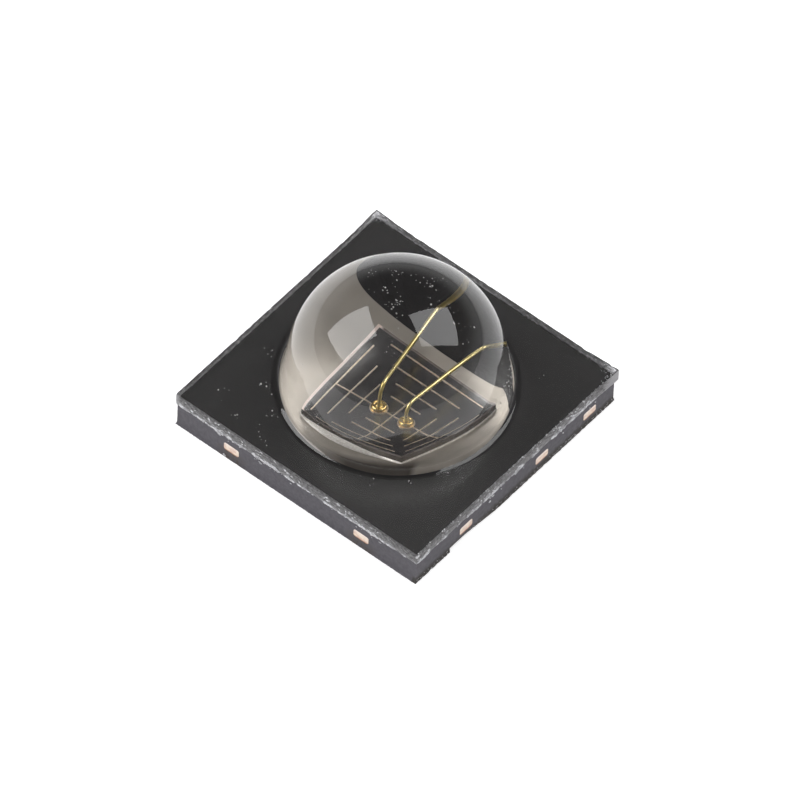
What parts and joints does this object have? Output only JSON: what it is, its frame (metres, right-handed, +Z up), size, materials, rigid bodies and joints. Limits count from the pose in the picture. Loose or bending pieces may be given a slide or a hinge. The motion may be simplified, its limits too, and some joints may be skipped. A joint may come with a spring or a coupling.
{
  "type": "infrared LED",
  "caption": "Surface-mount infrared LED: square black package with solder pads below, a clear dome lens with a flange, and a chip with gold contact grid and bond wires inside.",
  "frame": {"origin": "middle of the flat solder face under the package", "axes": "+Z up through the top of the dome, +Y from the chip towards the lead where the bond wires end, +X towards the sawn side that shows three tie bar ends at the right of the picture"},
  "size_m": [0.0038, 0.0038, 0.0022],
  "materials": {
    "clear_silicone": "clear, glossy",
    "black_mould": "sawn sides, smooth top",
    "plated_copper": "silver plated, bare where sawn",
    "semiconductor": "polished",
    "solder": "satin",
    "contact_metal": "satin",
    "gold_wire": "polished"
  },
  "bodies": {
    "root": {"lens": "clear_silicone", "body": "black_mould", "die_pad_lead": "plated_copper", "wire_bond_lead": "plated_copper", "led_chip": "semiconductor", "die_attach": "solder", "chip_contacts": "contact_metal", "bond_wire_a": "gold_wire", "bond_wire_b": "gold_wire"}
  },
  "joints": []
}
